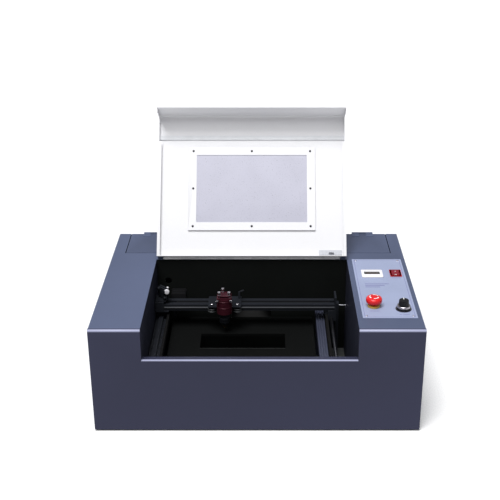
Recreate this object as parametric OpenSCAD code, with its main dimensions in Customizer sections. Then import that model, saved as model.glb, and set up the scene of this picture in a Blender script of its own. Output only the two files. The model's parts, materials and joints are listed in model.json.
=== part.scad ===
// Desktop CO2 laser engraver with a tilting lid, a belt-driven gantry and a rear tube bay.
// Lengths are in millimetres, angles in degrees. +Z is up, +Y points to the rear of the machine.
// The origin lies on the table, at the centre of the machine's footprint with the exhaust spigot.

/* [Cabinet] */
// Width of the cabinet
body_w = 800; // [790:1:840]
// Depth of the cabinet, front face to rear panel
body_d = 580; // [576:1:600]
// Height of the sheet-metal cabinet above its feet
body_h = 278; // [274:1:290]
// Height of the rubber feet
foot_h = 4; // [3:1:12]
// Sheet thickness of the cabinet, lid and hatch
sheet = 1.5; // [1.2:0.1:1.6]
// Outer radius of the bend along the front top edge
edge_r = 6; // [5:0.5:7]

/* [Work area] */
// Left edge of the work area, measured from the centre line
cavity_left = -276; // [-278:1:-275]
// Right edge of the work area, measured from the centre line
cavity_right = 242; // [240:1:244]
// Depth of the notch in the front panel that the lid's lip closes
notch_h = 81; // [76:1:84]
// Top surface of the work bed
bed_z = 128; // [120:1:128]

/* [Lid and hatch] */
// Distance of the lid's hinge line behind the front face
hinge_back = 401; // [400:1:402]
// Angle by which the lid stands open
lid_open = 123.5; // [115:0.5:124]
// Width of the acrylic window
window_w = 303; // [285:1:312]
// Height of the acrylic window
window_h = 189; // [180:1:195]

/* [Motion] */
// Distance of the gantry rail's centre line behind the front face
gantry_back = 324; // [300:1:325]
// Centre of the laser head on the gantry
head_x = -88; // [-120:1:120]
// Height of the laser beam above the table
beam_z = 222; // [220:1:224]

/* [Exhaust] */
// Outer diameter of the exhaust spigot
spigot_d = 100; // [90:1:100]
// Length of the exhaust spigot behind the rear panel
spigot_len = 40; // [38:1:60]

/* [Hidden] */
$fn = 48;
// Heights in the modules are measured from a level this far below the cabinet's underside.
datum = 8;
top_z = datum + body_h;
floor_z = datum + sheet;
under_top = top_z - sheet;
half_w = body_w / 2;
front_y = -(body_d + spigot_len) / 2;
sill_z = top_z - notch_h;
sill_r = 4;
side_r = 3;
front_return = 8;
wall_back = 402;
hatch_x = 365;
hatch_front = 446;
seam = 2;

// Lid, in its closed position before it is turned open
lid_gap = 2;
lid_left = cavity_left + lid_gap;
lid_right = cavity_right - lid_gap;
lid_rear = 397.5;
lid_skirt = 12;
lid_hem = 8;
lip_flange = 16;
lip_z = sill_z + 0.8;
pin_rise = 3.7;
hinge_z = top_z + pin_rise;
hinge_pin_r = 1.5;
knuckle_r = 3.4;
knuckles = 10;
leaf_t = 1;
leaf_len = 480;
window_near = 98;
frame_margin = 22.5;
pane_t = 3;
frame_t = 1.5;
window_screw_r = 3;
seal_near = 330.5;
seal_w = 12;
lid_mid = (lid_left + lid_right) / 2;

// Hatch hinge
hatch_axis_y = body_d + 3.8;
hatch_hinge_xs = [-300, 300];
hatch_hinge_w = 60;

// Gantry, carriage and head
rail_d = 42;
rail_h = 18;
rail_top = 197;
rail_left = -251;
rail_right = 205;
rail_ridge = 2.5;
channel_w = 10;
channel_floor = 180.6;
belt_t = 1.2;
belt_w = 6;
x_pulley_r = 6;
x_pulley_x = -215;
x_idler_x = 190;
x_belt_z = 188.2;
roller_r = 11;
roller_t = 10;
roller_z = rail_top - rail_h / 2;
roller_dx = 34;
roller_gap = 0.3;
roller_back = rail_d / 2 + roller_r - rail_ridge + roller_gap;
axle_r = 2;
running = 0.05;
housing_r = 20;
housing_low = 190;
housing_high = 233;
head_back = gantry_back - 48;
lens_tube_r = 12;
beam_x = -246;

// Y drive
shaft_back = 378;
idler_back = 40;
shaft_z = 158;
y_pulley_r = 8;
y_belt_xs = [-240, 184];
rod_x = 197;
rod_r = 4;
rod_end = 366;
guide_x = -260;

// Rear bay
tube_back = 500;
tube_r = 25;
tube_left = -222;
tube_right = 388;
duct_x = -20;
duct_z = 112;
duct_w = 120;
duct_h = 110;
spigot_wall = 2;

// Control panel
panel_left = 255;
panel_right = 388;
panel_front = 59;
panel_rear = 400;
panel_t = 1.2;
display_at = [301, 304];
display_size = [56, 45];
rocker_at = [363, 308];
rocker_size = [30, 38];
estop_at = [287, 121];
knob_at = [358.5, 106];
skin_z = top_z + panel_t;

// ---- helpers ----

// Children drawn with Y measured from the front face and Z from the datum under the cabinet.
module from_front() {
    translate([0, front_y, foot_h - datum]) children();
}

// A box given by its low and high corners.
module box(low, high) {
    translate(low) cube([high[0] - low[0], high[1] - low[1], high[2] - low[2]]);
}

// Round bars along each axis, from one end to the other.
module bar_x(x0, x1, y, z, r) {
    translate([x0, y, z]) rotate([0, 90, 0]) cylinder(h = x1 - x0, r = r);
}
module bar_y(y0, y1, x, z, r) {
    translate([x, y1, z]) rotate([90, 0, 0]) cylinder(h = y1 - y0, r = r);
}
module bar_z(z0, z1, x, y, r) {
    translate([x, y, z0]) cylinder(h = z1 - z0, r = r);
}

// A quarter of a bent sheet that runs along X: it joins a front face to a top face.
module front_bend(x0, x1, y, z, r, t) {
    intersection() {
        difference() {
            bar_x(x0, x1, y, z, r);
            bar_x(x0 - 1, x1 + 1, y, z, r - t);
        }
        box([x0, y - r, z], [x1, y, z + r]);
    }
}

// A quarter of a bent sheet that runs along Y. side is -1 for a left edge and 1 for a right edge.
module side_bend(y0, y1, x, z, r, t, side) {
    intersection() {
        difference() {
            bar_y(y0, y1, x, z, r);
            bar_y(y0 - 1, y1 + 1, x, z, r - t);
        }
        box([side < 0 ? x - r : x, y0, z], [side < 0 ? x : x + r, y1, z + r]);
    }
}

// A flat belt loop along X: two straight runs and two half turns.
module belt_loop(a, b, z, r, w, t) {
    for (side = [0, 1])
        translate([side == 0 ? a : b, 0, z])
            intersection() {
                difference() {
                    rotate([90, 0, 0]) cylinder(h = w, r = r + t, center = true);
                    rotate([90, 0, 0]) cylinder(h = w + 1, r = r, center = true);
                }
                translate([side == 0 ? -r - t : 0, -w / 2, -r - t]) cube([r + t, w, 2 * (r + t)]);
            }
    for (s = [-1, 1])
        translate([a, -w / 2, z + (s > 0 ? r : -r - t)]) cube([b - a, w, t]);
}

// A flanged timing pulley along Y, centred on its belt.
module pulley(r, w, bore) {
    rotate([90, 0, 0])
        difference() {
            union() {
                cylinder(h = w + 0.6, r = r - 0.3, center = true);
                for (s = [-1, 1])
                    translate([0, 0, s * (w / 2 + 0.8)]) cylinder(h = 1, r = r + 0.9, center = true);
            }
            if (bore > 0) cylinder(h = w + 10, r = bore, center = true);
        }
}

// A knurled thumb screw that stands on z0: a shank under a round head.
module thumb_screw(x, y, z0, z1, head) {
    bar_z(z0, z1 - 5, x, y, 1.5);
    bar_z(z1 - 5, z1, x, y, head);
}

// The lid's parts are drawn closed and then turned open about the hinge.
module opened() {
    from_front()
        translate([0, hinge_back, hinge_z])
            rotate([-lid_open, 0, 0])
                translate([0, -hinge_back, -hinge_z]) children();
}

// ---- cabinet ----

module front_panel() {
    color([0.22, 0.23, 0.30]) from_front() {
        difference() {
            box([-half_w, 0, datum], [half_w, sheet, top_z - edge_r]);
            box([cavity_left, -1, sill_z - sill_r], [cavity_right, 3, top_z]);
        }
        for (x = [[-half_w, cavity_left], [cavity_right, half_w]]) {
            front_bend(x[0], x[1], edge_r, top_z - edge_r, edge_r, sheet);
            box([x[0], edge_r, under_top], [x[1], front_return, top_z]);
        }
        for (x = [-half_w, half_w - sheet])
            intersection() {
                bar_x(x, x + sheet, edge_r, top_z - edge_r, edge_r - sheet / 2);
                box([x, sheet, top_z - edge_r], [x + sheet, front_return, under_top]);
            }
        front_bend(cavity_left, cavity_right, sill_r, sill_z - sill_r, sill_r, sheet);
        box([cavity_left, sill_r, sill_z - sheet], [cavity_right, 16, sill_z]);
        box([cavity_left, 16 - sheet, sill_z - 14], [cavity_right, 16, sill_z - sheet]);
    }
}

module left_cover() {
    color([0.39, 0.43, 0.56]) from_front() {
        box([-half_w, sheet, datum], [-half_w + sheet, front_return, top_z - edge_r]);
        box([-half_w, front_return, datum], [-half_w + sheet, body_d, top_z - side_r]);
        side_bend(front_return, body_d, -half_w + side_r, top_z - side_r, side_r, sheet, -1);
        box([-half_w + side_r, front_return, under_top], [cavity_left, hatch_front - seam, top_z]);
        box([-half_w + side_r, hatch_front - seam, under_top], [-hatch_x - seam, body_d, top_z]);
    }
}

module right_cover() {
    color([0.39, 0.43, 0.56]) from_front() {
        difference() {
            union() {
                box([half_w - sheet, sheet, datum], [half_w, front_return, top_z - edge_r]);
                box([half_w - sheet, front_return, datum], [half_w, body_d, top_z - side_r]);
                side_bend(front_return, body_d, half_w - side_r, top_z - side_r, side_r, sheet, 1);
                box([cavity_right, front_return, under_top],
                    [half_w - side_r, hatch_front - seam, top_z]);
                box([hatch_x + seam, hatch_front - seam, under_top],
                    [half_w - side_r, body_d, top_z]);
            }
            panel_cutouts(-10);
            for (i = [0 : 6])
                box([half_w - 5, 150 + i * 22, 60], [half_w + 5, 160 + i * 22, 120]);
        }
    }
}

// Openings for the parts of the control panel, from `low` below the top surface upwards.
module panel_cutouts(low) {
    box([display_at[0] - 24, display_at[1] - 18, top_z + low],
        [display_at[0] + 24, display_at[1] + 18, top_z + 5]);
    box([rocker_at[0] - 11, rocker_at[1] - 15, top_z + low],
        [rocker_at[0] + 11, rocker_at[1] + 15, top_z + 5]);
    bar_z(top_z + low, top_z + 5, estop_at[0], estop_at[1], 11);
    bar_z(top_z + low, top_z + 5, knob_at[0], knob_at[1], 5);
}

// A side wall of the work area. Its front top corner follows the inside of the front panel's bend.
module bay_wall(x) {
    bend_z = top_z - edge_r;
    box([x, sheet, floor_z], [x + sheet, wall_back, bend_z]);
    box([x, edge_r, bend_z], [x + sheet, wall_back, under_top]);
    bar_x(x, x + sheet, edge_r, bend_z, edge_r - sheet);
}

module left_wall() {
    color([0.22, 0.24, 0.30]) from_front()
        bay_wall(cavity_left - sheet);
}

module right_wall() {
    color([0.22, 0.24, 0.30]) from_front()
        difference() {
            bay_wall(cavity_right);
            bar_x(cavity_right - 1, cavity_right + 3, shaft_back, shaft_z, 12);
        }
}

module rear_wall() {
    color([0.07, 0.07, 0.07]) from_front()
        difference() {
            box([cavity_left - sheet, wall_back, floor_z],
                [cavity_right + sheet, wall_back + sheet, under_top]);
            bar_y(wall_back - 2, wall_back + 4, beam_x, beam_z, 9);
            box([duct_x - duct_w / 2 + 4, wall_back - 2, duct_z - duct_h / 2 + 4],
                [duct_x + duct_w / 2 - 4, wall_back + 4, duct_z + duct_h / 2 - 4]);
        }
}

module hinge_rail() {
    ledge_z = under_top - 0.4;
    color([0.39, 0.43, 0.56]) from_front() {
        box([cavity_left, wall_back, under_top], [cavity_right, hatch_front - seam, top_z]);
        box([cavity_left, hatch_front - seam - sheet, ledge_z - sheet],
            [cavity_right, hatch_front - seam, under_top]);
        box([cavity_left, hatch_front - seam, ledge_z - sheet],
            [cavity_right, hatch_front + 10, ledge_z]);
        for (x = [lid_mid - 255, lid_mid + 243]) stop_lug(x);
    }
}

// A lug behind the hinge line. Its sloping face carries the lid when it stands fully open.
module stop_lug(x) {
    near = 2;
    high = 30;
    translate([x, hinge_back, top_z])
        rotate([90, 0, 90])
            linear_extrude(height = 12)
                polygon([
                    [near, 0], [24, 0], [24, 6], [stop_face_y(high), high],
                    [near, stop_face_z(near)]
                ]);
}

// The stop face: how far behind the hinge it is at a height, and how high it is at a distance.
// Both are measured from the hinge line on the top surface, 0.3 behind the open lid.
function stop_face_y(h) =
    (sin(lid_open - 90) * (h - pin_rise) - pin_rise + 0.3) / cos(lid_open - 90);
function stop_face_z(y) =
    (cos(lid_open - 90) * y + pin_rise - 0.3) / sin(lid_open - 90) + pin_rise;

module rear_panel() {
    color([0.22, 0.23, 0.30]) from_front()
        difference() {
            union() {
                box([-half_w + sheet, body_d - sheet, datum],
                    [half_w - sheet, body_d, top_z - side_r]);
                box([-half_w + side_r, body_d - sheet, top_z - side_r],
                    [half_w - side_r, body_d, under_top - 0.4]);
            }
            bar_y(body_d - 5, body_d + 5, duct_x, duct_z, spigot_d / 2 + 1);
            rear_cutouts();
            for (i = [0 : 5])
                box([-330 + i * 20, body_d - 5, 60], [-320 + i * 20, body_d + 5, 120]);
        }
}

// Openings in the rear panel for the power inlet, the data socket and the two hose barbs.
module rear_cutouts() {
    box([286, body_d - 5, 40], [314, body_d + 5, 60]);
    box([246, body_d - 5, 44], [258, body_d + 5, 56]);
    for (x = [180, 210]) bar_y(body_d - 5, body_d + 5, x, 50, 5);
}

module base_pan() {
    color([0.5, 0.52, 0.55]) from_front()
        difference() {
            box([-half_w + sheet, sheet, datum], [half_w - sheet, body_d - sheet, floor_z]);
            for (i = [0 : 7])
                box([-120 + i * 26, 430, 0], [-110 + i * 26, 480, 20]);
        }
}

module rubber_feet() {
    color([0.08, 0.08, 0.08]) from_front()
        for (x = [-360, 360], y = [40, 540])
            translate([x, y, datum - foot_h]) {
                cylinder(h = foot_h - 1, r = 14);
                translate([0, 0, foot_h - 1]) cylinder(h = 1, r = 12);
            }
}

module cabinet_screws() {
    color([0.3, 0.3, 0.32]) from_front() {
        for (y = [60, 290, 520], z = [30, 262]) {
            bar_x(-half_w - 1.6, -half_w, y, z, 4);
            bar_x(half_w, half_w + 1.6, y, z, 4);
        }
        for (x = [-380, -120, 120, 380], z = [24, 262])
            bar_y(body_d, body_d + 1.6, x, z, 4);
    }
}

// ---- work area ----

module bed_plate() {
    front = 66;
    rear = 366;
    left = -232;
    right = 150;
    color([0.07, 0.07, 0.07]) from_front() {
        difference() {
            box([left, front, bed_z - 2], [right, rear, bed_z]);
            box([-150, 191, bed_z - 5], [72, 260, bed_z + 5]);
        }
        box([left, front, bed_z - 16], [right, front + 2, bed_z - 2]);
        box([left, rear - 2, bed_z - 16], [right, rear, bed_z - 2]);
        box([-150, 260, bed_z], [72, 262, bed_z + 6]);
        for (x = [left + 6, right - 26], y = [front + 12, rear - 32])
            box([x, y, floor_z], [x + 20, y + 20, bed_z - 2]);
    }
}

module y_rail_left() {
    color([0.14, 0.15, 0.17]) from_front() {
        box([guide_x - 14, 20, 128], [guide_x + 15, 392, 150]);
        box([guide_x - 6, 25, 150], [guide_x + 6, 390, 158]);
        for (y = [30, 362])
            box([guide_x - 10, y, floor_z], [guide_x + 10, y + 20, 128]);
    }
}

module bed_rail_right() {
    color([0.55, 0.58, 0.68]) from_front()
        difference() {
            union() {
                box([157, 20, 128], [179.5, 392, 148]);
                for (y = [30, 362])
                    box([160, y, floor_z], [176, y + 20, 128]);
            }
            for (x = [162, 168, 174])
                box([x - 1.2, 10, 144], [x + 1.2, 400, 150]);
        }
}

module y_rod_right() {
    color([0.6, 0.6, 0.62]) from_front() bar_y(18, rod_end, rod_x, shaft_z, rod_r);
}

// Posts that hold the ends of the rod, the cross shaft, and the axles of the front idlers.
module rail_blocks() {
    color([0.2, 0.2, 0.22]) from_front() {
        for (y = [17, rod_end - 9])
            difference() {
                box([rod_x - 9, y, floor_z], [rod_x + 9, y + 10, shaft_z + 9]);
                bar_y(y - 1, y + 11, rod_x, shaft_z, rod_r);
            }
        for (x = [-233, 214])
            difference() {
                box([x, shaft_back - 9, floor_z], [x + 8, shaft_back + 9, shaft_z + 9]);
                bar_x(x - 1, x + 9, shaft_back, shaft_z, 3 + running);
            }
        box([-233, idler_back - 8, floor_z], [-225, idler_back + 8, shaft_z + 7]);
        bar_x(y_belt_xs[0] - 4.5, -233, idler_back, shaft_z, 2.5);
        box([rod_x - 8, 26, shaft_z - 8], [rod_x - 5, idler_back + 8, shaft_z + 8]);
        bar_x(y_belt_xs[1] - 4.5, rod_x - 8, idler_back, shaft_z, 2.5);
    }
}

module y_belts() {
    color([0.05, 0.05, 0.05]) from_front()
        for (x = y_belt_xs)
            translate([x, 0, 0]) rotate([0, 0, 90])
                belt_loop(idler_back, shaft_back, shaft_z, y_pulley_r, belt_w, belt_t);
}

module y_drive_shaft() {
    color([0.65, 0.65, 0.68]) from_front() {
        bar_x(-246, 247.6, shaft_back, shaft_z, 3);
        for (x = y_belt_xs)
            translate([x, shaft_back, shaft_z]) rotate([0, 0, 90]) pulley(y_pulley_r, belt_w, 0);
    }
}

module y_idlers() {
    color([0.65, 0.65, 0.68]) from_front()
        for (x = y_belt_xs)
            translate([x, idler_back, shaft_z])
                rotate([0, 0, 90]) pulley(y_pulley_r, belt_w, 2.5 + running);
}

module y_motor() {
    color([0.1, 0.1, 0.1]) from_front() {
        box([248, shaft_back - 21, shaft_z - 21], [282, shaft_back + 21, shaft_z + 21]);
        difference() {
            bar_x(cavity_right + sheet, 248, shaft_back, shaft_z, 15);
            bar_x(cavity_right, 248, shaft_back, shaft_z, 3.4);
        }
    }
}

// ---- gantry ----

module gantry_rail() {
    ridge_z = roller_z;
    front = gantry_back - rail_d / 2;
    rear = gantry_back + rail_d / 2;
    low = rail_top - rail_h;
    color([0.35, 0.35, 0.37]) from_front()
        difference() {
            translate([rail_left, 0, 0]) rotate([90, 0, 90])
                linear_extrude(height = rail_right - rail_left)
                    polygon([
                        [front + rail_ridge, low], [rear - rail_ridge, low],
                        [rear - rail_ridge, ridge_z - rail_ridge], [rear, ridge_z],
                        [rear - rail_ridge, ridge_z + rail_ridge], [rear - rail_ridge, rail_top],
                        [front + rail_ridge, rail_top], [front + rail_ridge, ridge_z + rail_ridge],
                        [front, ridge_z], [front + rail_ridge, ridge_z - rail_ridge]
                    ]);
            box([rail_left - 1, gantry_back - channel_w / 2, channel_floor],
                [rail_right + 1, gantry_back + channel_w / 2, rail_top + 1]);
            bar_y(gantry_back, rear + 1, x_pulley_x, x_belt_z, 4);
        }
    color([0.35, 0.35, 0.37]) from_front()
        bar_y(gantry_back - channel_w / 2, gantry_back + channel_w / 2, x_idler_x, x_belt_z, 2.5);
}

module gantry_left_end() {
    low = rail_top - rail_h;
    front = gantry_back - rail_d / 2 - 1;
    rear = gantry_back + rail_d / 2 + 1;
    color([0.06, 0.06, 0.07]) from_front() {
        difference() {
            union() {
                box([guide_x - 14, front, low - 3], [-238, rear, low]);
                box([guide_x - 14, front, low], [rail_left, rear, 205]);
                box([guide_x - 13, gantry_back - 3, 152], [guide_x + 14, rear, low - 3]);
            }
            box([guide_x - 6.3, gantry_back - 10, 140], [guide_x + 6.3, rear + 1, 158.3]);
        }
        for (z = [[167.7, low - 3], [162, 165.5]])
            box([y_belt_xs[0] - 4, gantry_back - 2, z[0]], [y_belt_xs[0] + 4, rear, z[1]]);
        box([guide_x + 14, gantry_back - 2, 160], [y_belt_xs[0] - 4, rear, low - 3]);
    }
}

module gantry_right_end() {
    low = rail_top - rail_h;
    front = gantry_back - rail_d / 2;
    rear = gantry_back + rail_d / 2;
    color([0.42, 0.42, 0.44]) from_front() {
        difference() {
            union() {
                box([rod_x - 9, front, shaft_z - 9], [rod_x + 13, rear, low]);
                box([rail_right, front, low], [rod_x + 13, rear, 218]);
            }
            bar_y(front - 1, rear + 1, rod_x, shaft_z, rod_r + running);
        }
        box([y_belt_xs[1] - 4, front + 4, 167.7], [rod_x - 9, rear - 4, low]);
        box([y_belt_xs[1] - 4, front + 4, 162], [rod_x - 9, rear - 4, 165.5]);
    }
}

module x_motor() {
    rear = gantry_back + rail_d / 2;
    color([0.08, 0.08, 0.08]) from_front() {
        box([x_pulley_x - 21, rear + 0.2, x_belt_z - 20], [x_pulley_x + 21, rear + 34, x_belt_z + 21]);
    }
}

module x_belt() {
    color([0.05, 0.05, 0.05]) from_front()
        translate([0, gantry_back, 0])
            belt_loop(x_pulley_x, x_idler_x, x_belt_z, x_pulley_r, belt_w, belt_t);
}

module x_pulley() {
    rear = gantry_back + rail_d / 2;
    color([0.65, 0.65, 0.68]) from_front() {
        translate([x_pulley_x, gantry_back, x_belt_z]) pulley(x_pulley_r, belt_w, 0);
        bar_y(gantry_back, rear - 0.2, x_pulley_x, x_belt_z, 2.5);
    }
}

module x_idler() {
    color([0.65, 0.65, 0.68]) from_front()
        translate([x_idler_x, gantry_back, x_belt_z]) pulley(x_pulley_r, belt_w, 2.5 + running);
}

// A mirror mount: an upright plate, an adjusting plate held off it by three screws, and the mirror.
// It is drawn about the mirror's centre with the beam arriving along +Y, then turned by `turn`.
module mirror_mount(turn) {
    rotate([0, 0, turn]) {
        difference() {
            box([-17, 4, -16], [17, 8, 19]);
            bar_y(0, 12, 0, 0, 8);
        }
        box([-17, 10.5, -12], [17, 13.5, 18]);
        for (p = [[-12, 13], [12, 13], [-12, -7]]) {
            bar_y(8, 10.5, p[0], p[1], 2.5);
            bar_y(13.5, 19, p[0], p[1], 4);
        }
        bar_y(8, 10.5, 0, 0, 9.5);
        bar_y(4, 8, 0, 0, 8);
    }
}

module mirror_mount_2() {
    color([0.12, 0.12, 0.13]) from_front() {
        translate([beam_x, gantry_back + 4, beam_z]) mirror_mount(135);
        box([beam_x - 27, gantry_back - 19, 205], [beam_x + 1, gantry_back + 14, 208.5]);
    }
}

// ---- carriage and head ----

module carriage_plate() {
    low = rail_top + 2;
    high = low + 3;
    color([0.10, 0.10, 0.11]) from_front() {
        difference() {
            translate([head_x, gantry_back, 0]) {
                box([-44, -41, low], [44, 21, high]);
                box([-16, 21, low], [16, 40, high]);
            }
            bar_z(low - 1, high + 1, head_x, head_back, housing_r);
        }
        for (p = [[-roller_dx, -roller_back], [roller_dx, -roller_back], [0, roller_back]])
            translate([head_x + p[0], gantry_back + p[1], 0]) {
                cylinder_between(roller_z - roller_t / 2 - 3, low, axle_r);
                cylinder_between(roller_z + roller_t / 2 + 0.3, low, 3.5);
                cylinder_between(roller_z - roller_t / 2 - 4, roller_z - roller_t / 2 - 0.3, 3.5);
                cylinder_between(high, high + 3, 3.5);
            }
        translate([head_x, gantry_back, 0]) {
            box([-6, -3, x_belt_z + 7.5], [6, 3, low]);
            translate([38, 8, 0]) air_barb(high);
        }
    }
}

// An elbow for the air hose: a short post and a barb that leans out to the right.
module air_barb(z0) {
    cylinder_between(z0 - 1, z0 + 20, 3);
    translate([0, 0, z0 + 19]) rotate([0, 65, 0]) {
        cylinder(h = 13, r = 2);
        for (z = [5, 8.5, 12]) translate([0, 0, z]) cylinder(h = 1.4, r = 2.6);
    }
}

// A cylinder on the local origin between two heights.
module cylinder_between(z0, z1, r) {
    translate([0, 0, z0]) cylinder(h = z1 - z0, r = r);
}

// A V-grooved roller with its bore. The groove fits the ridge of the gantry rail.
module roller() {
    rotate_extrude()
        polygon([
            [axle_r + running, -roller_t / 2], [roller_r - 1, -roller_t / 2],
            [roller_r, -roller_t / 2 + 1], [roller_r, -rail_ridge],
            [roller_r - rail_ridge, 0], [roller_r, rail_ridge],
            [roller_r, roller_t / 2 - 1], [roller_r - 1, roller_t / 2],
            [axle_r + running, roller_t / 2]
        ]);
}

module roller_at(dx, dy) {
    color([0.75, 0.77, 0.76]) from_front()
        translate([head_x + dx, gantry_back + dy, roller_z]) roller();
}

module roller_front_left() { roller_at(-roller_dx, -roller_back); }
module roller_front_right() { roller_at(roller_dx, -roller_back); }
module roller_rear() { roller_at(0, roller_back); }

module mirror_housing() {
    color([0.35, 0.06, 0.10]) from_front()
        difference() {
            bar_z(housing_low, housing_high, head_x, head_back, housing_r);
            bar_z(housing_low - 1, 212, head_x, head_back, lens_tube_r + running);
            bar_z(211, housing_high + 1, head_x, head_back, 8);
            bar_x(head_x - 30, head_x, head_back, beam_z, 6);
        }
}

module mirror_mount_3() {
    plate_z = housing_high;
    color([0.62, 0.60, 0.60]) from_front()
        translate([head_x, head_back, 0]) {
            translate([-19, -16, plate_z]) cube([38, 34, 4]);
            translate([-17, -14, plate_z + 7]) cube([34, 30, 3]);
            for (p = [[-13, -10], [13, -10], [-4, 12]]) {
                cylinder_between_at(p, plate_z + 4, plate_z + 7, 2.5);
                thumb_screw(p[0], p[1], plate_z + 10, plate_z + 21, 4.5);
            }
            translate([0, 0, plate_z - 6]) cylinder(h = 6, r = 7.8);
            for (s = [-1, 1])
                translate([s * 18, -14.4, plate_z - 2]) rotate([90, 0, 0]) cylinder(h = 7, r = 3.5);
        }
}

module cylinder_between_at(p, z0, z1, r) {
    translate([p[0], p[1], 0]) cylinder_between(z0, z1, r);
}

module lens_tube() {
    color([0.12, 0.06, 0.07]) from_front()
        translate([head_x, head_back, 0])
            difference() {
                union() {
                    cylinder_between(168, 205, lens_tube_r);
                    cylinder_between(164, 176, 14);
                    rotate_extrude() polygon([[0, 146], [4, 146], [14, 164], [0, 164]]);
                }
                cylinder_between(140, 220, 2.5);
            }
}

// ---- rear bay ----

module laser_tube() {
    color([0.75, 0.85, 0.9, 0.4]) from_front() {
        difference() {
            bar_x(tube_left + 25, tube_right - 25, tube_back, beam_z, tube_r);
            bar_x(tube_left + 28, tube_right - 28, tube_back, beam_z, tube_r - 2);
        }
        bar_x(tube_left + 28, tube_right - 28, tube_back, beam_z, 6);
        for (x = [tube_left, tube_right - 25]) bar_x(x, x + 25, tube_back, beam_z, 12);
    }
}

module tube_clamps() {
    color([0.15, 0.3, 0.55]) from_front()
        for (x = [-120, 260])
            difference() {
                box([x, tube_back - 34, floor_z], [x + 24, tube_back + 34, beam_z + 31]);
                bar_x(x - 1, x + 25, tube_back, beam_z, tube_r);
            }
}

module mirror_mount_1() {
    color([0.12, 0.12, 0.13]) from_front() {
        translate([beam_x, tube_back, beam_z]) mirror_mount(45);
        box([beam_x - 14, tube_back - 6, floor_z], [beam_x + 6, tube_back + 14, beam_z - 13.5]);
    }
}

module exhaust_duct() {
    half = [duct_w / 2, duct_h / 2];
    color([0.45, 0.46, 0.5]) from_front() {
        difference() {
            box([duct_x - half[0], wall_back + sheet, duct_z - half[1]],
                [duct_x + half[0], body_d - sheet, duct_z + half[1]]);
            box([duct_x - half[0] + 2, wall_back, duct_z - half[1] + 2],
                [duct_x + half[0] - 2, body_d - 8, duct_z + half[1] - 2]);
            bar_y(body_d - 20, body_d + 5, duct_x, duct_z, spigot_d / 2 - spigot_wall);
        }
        difference() {
            bar_y(body_d - sheet, body_d + spigot_len, duct_x, duct_z, spigot_d / 2);
            bar_y(body_d - 20, body_d + spigot_len + 1, duct_x, duct_z, spigot_d / 2 - spigot_wall);
        }
    }
}

module laser_psu() {
    color([0.6, 0.6, 0.58]) from_front() {
        box([262, 170, floor_z], [372, 335, 80]);
        bar_z(80, 84, 317, 290, 26);
    }
}

module control_board() {
    color([0.1, 0.35, 0.15]) from_front() {
        box([262, 40, 24], [352, 120, 26]);
        for (x = [268, 346], y = [46, 114]) bar_z(floor_z, 24, x, y, 3);
        box([290, 62, 26], [318, 90, 30]);
        for (x = [266, 336]) box([x, 70, 26], [x + 10, 100, 36]);
    }
}

// ---- control panel ----

module control_panel() {
    color([0.68, 0.72, 0.80]) from_front()
        difference() {
            box([panel_left, panel_front, top_z], [panel_right, panel_rear, skin_z]);
            panel_cutouts(-5);
        }
}

module power_display() {
    half = [display_size[0] / 2, display_size[1] / 2];
    color([0.92, 0.92, 0.92]) from_front()
        translate([display_at[0], display_at[1], 0]) {
            difference() {
                box([-half[0], -half[1], skin_z], [half[0], half[1], skin_z + 3.5]);
                box([-22, -10, skin_z + 2], [22, 12, skin_z + 5]);
            }
            box([-23.5, -17.5, skin_z - 22], [23.5, 17.5, skin_z]);
        }
}

module rocker_bezel() {
    half = [rocker_size[0] / 2, rocker_size[1] / 2];
    color([0.25, 0.05, 0.07]) from_front()
        translate([rocker_at[0], rocker_at[1], 0])
            difference() {
                union() {
                    box([-half[0], -half[1], skin_z], [half[0], half[1], skin_z + 3]);
                    box([-10.8, -14.8, skin_z - 26], [10.8, 14.8, skin_z]);
                }
                box([-10, -14, skin_z - 8], [10, 14, skin_z + 5]);
            }
}

module rocker() {
    color([0.63, 0.15, 0.2]) from_front()
        translate([rocker_at[0], rocker_at[1], skin_z - 2])
            rotate([8, 0, 0]) rotate([90, 0, 90])
                linear_extrude(height = 19, center = true)
                    polygon([[-13, 5.2], [0, 3.6], [13, 5.2], [11.5, -0.5], [3, -3.2], [-3, -3.2],
                        [-11.5, -0.5]]);
}

module estop_base() {
    color([0.85, 0.75, 0.3]) from_front()
        translate([estop_at[0], estop_at[1], 0])
            difference() {
                union() {
                    cylinder_between(skin_z, skin_z + 5, 15);
                    cylinder_between(skin_z - 40, skin_z, 10.8);
                }
                cylinder_between(skin_z - 30, skin_z + 6, 7 + running);
            }
}

module estop_button() {
    color([0.8, 0.2, 0.2]) from_front()
        translate([estop_at[0], estop_at[1], skin_z]) {
            cylinder_between(-22, 14, 7);
            rotate_extrude()
                polygon([[0, 12], [18, 12], [20, 14], [20, 20], [18, 24], [13, 26], [0, 27]]);
        }
}

module dial_ring() {
    color([0.9, 0.9, 0.92]) from_front()
        translate([knob_at[0], knob_at[1], 0])
            difference() {
                union() {
                    cylinder_between(skin_z, skin_z + 1, 20);
                    cylinder_between(skin_z - 24, skin_z, 4.8);
                }
                cylinder_between(skin_z - 20, skin_z + 6, 3 + running);
            }
}

module power_knob() {
    color([0.1, 0.1, 0.12]) from_front()
        translate([knob_at[0], knob_at[1], skin_z]) {
            cylinder_between(-14, 2, 3);
            cylinder_between(1.4, 8, 18);
            cylinder_between(8, 11, 16);
            cylinder_between(11, 25, 12.5);
            translate([-1.2, 4, 25]) cube([2.4, 8, 0.8]);
        }
}

// ---- rear fittings ----

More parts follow.
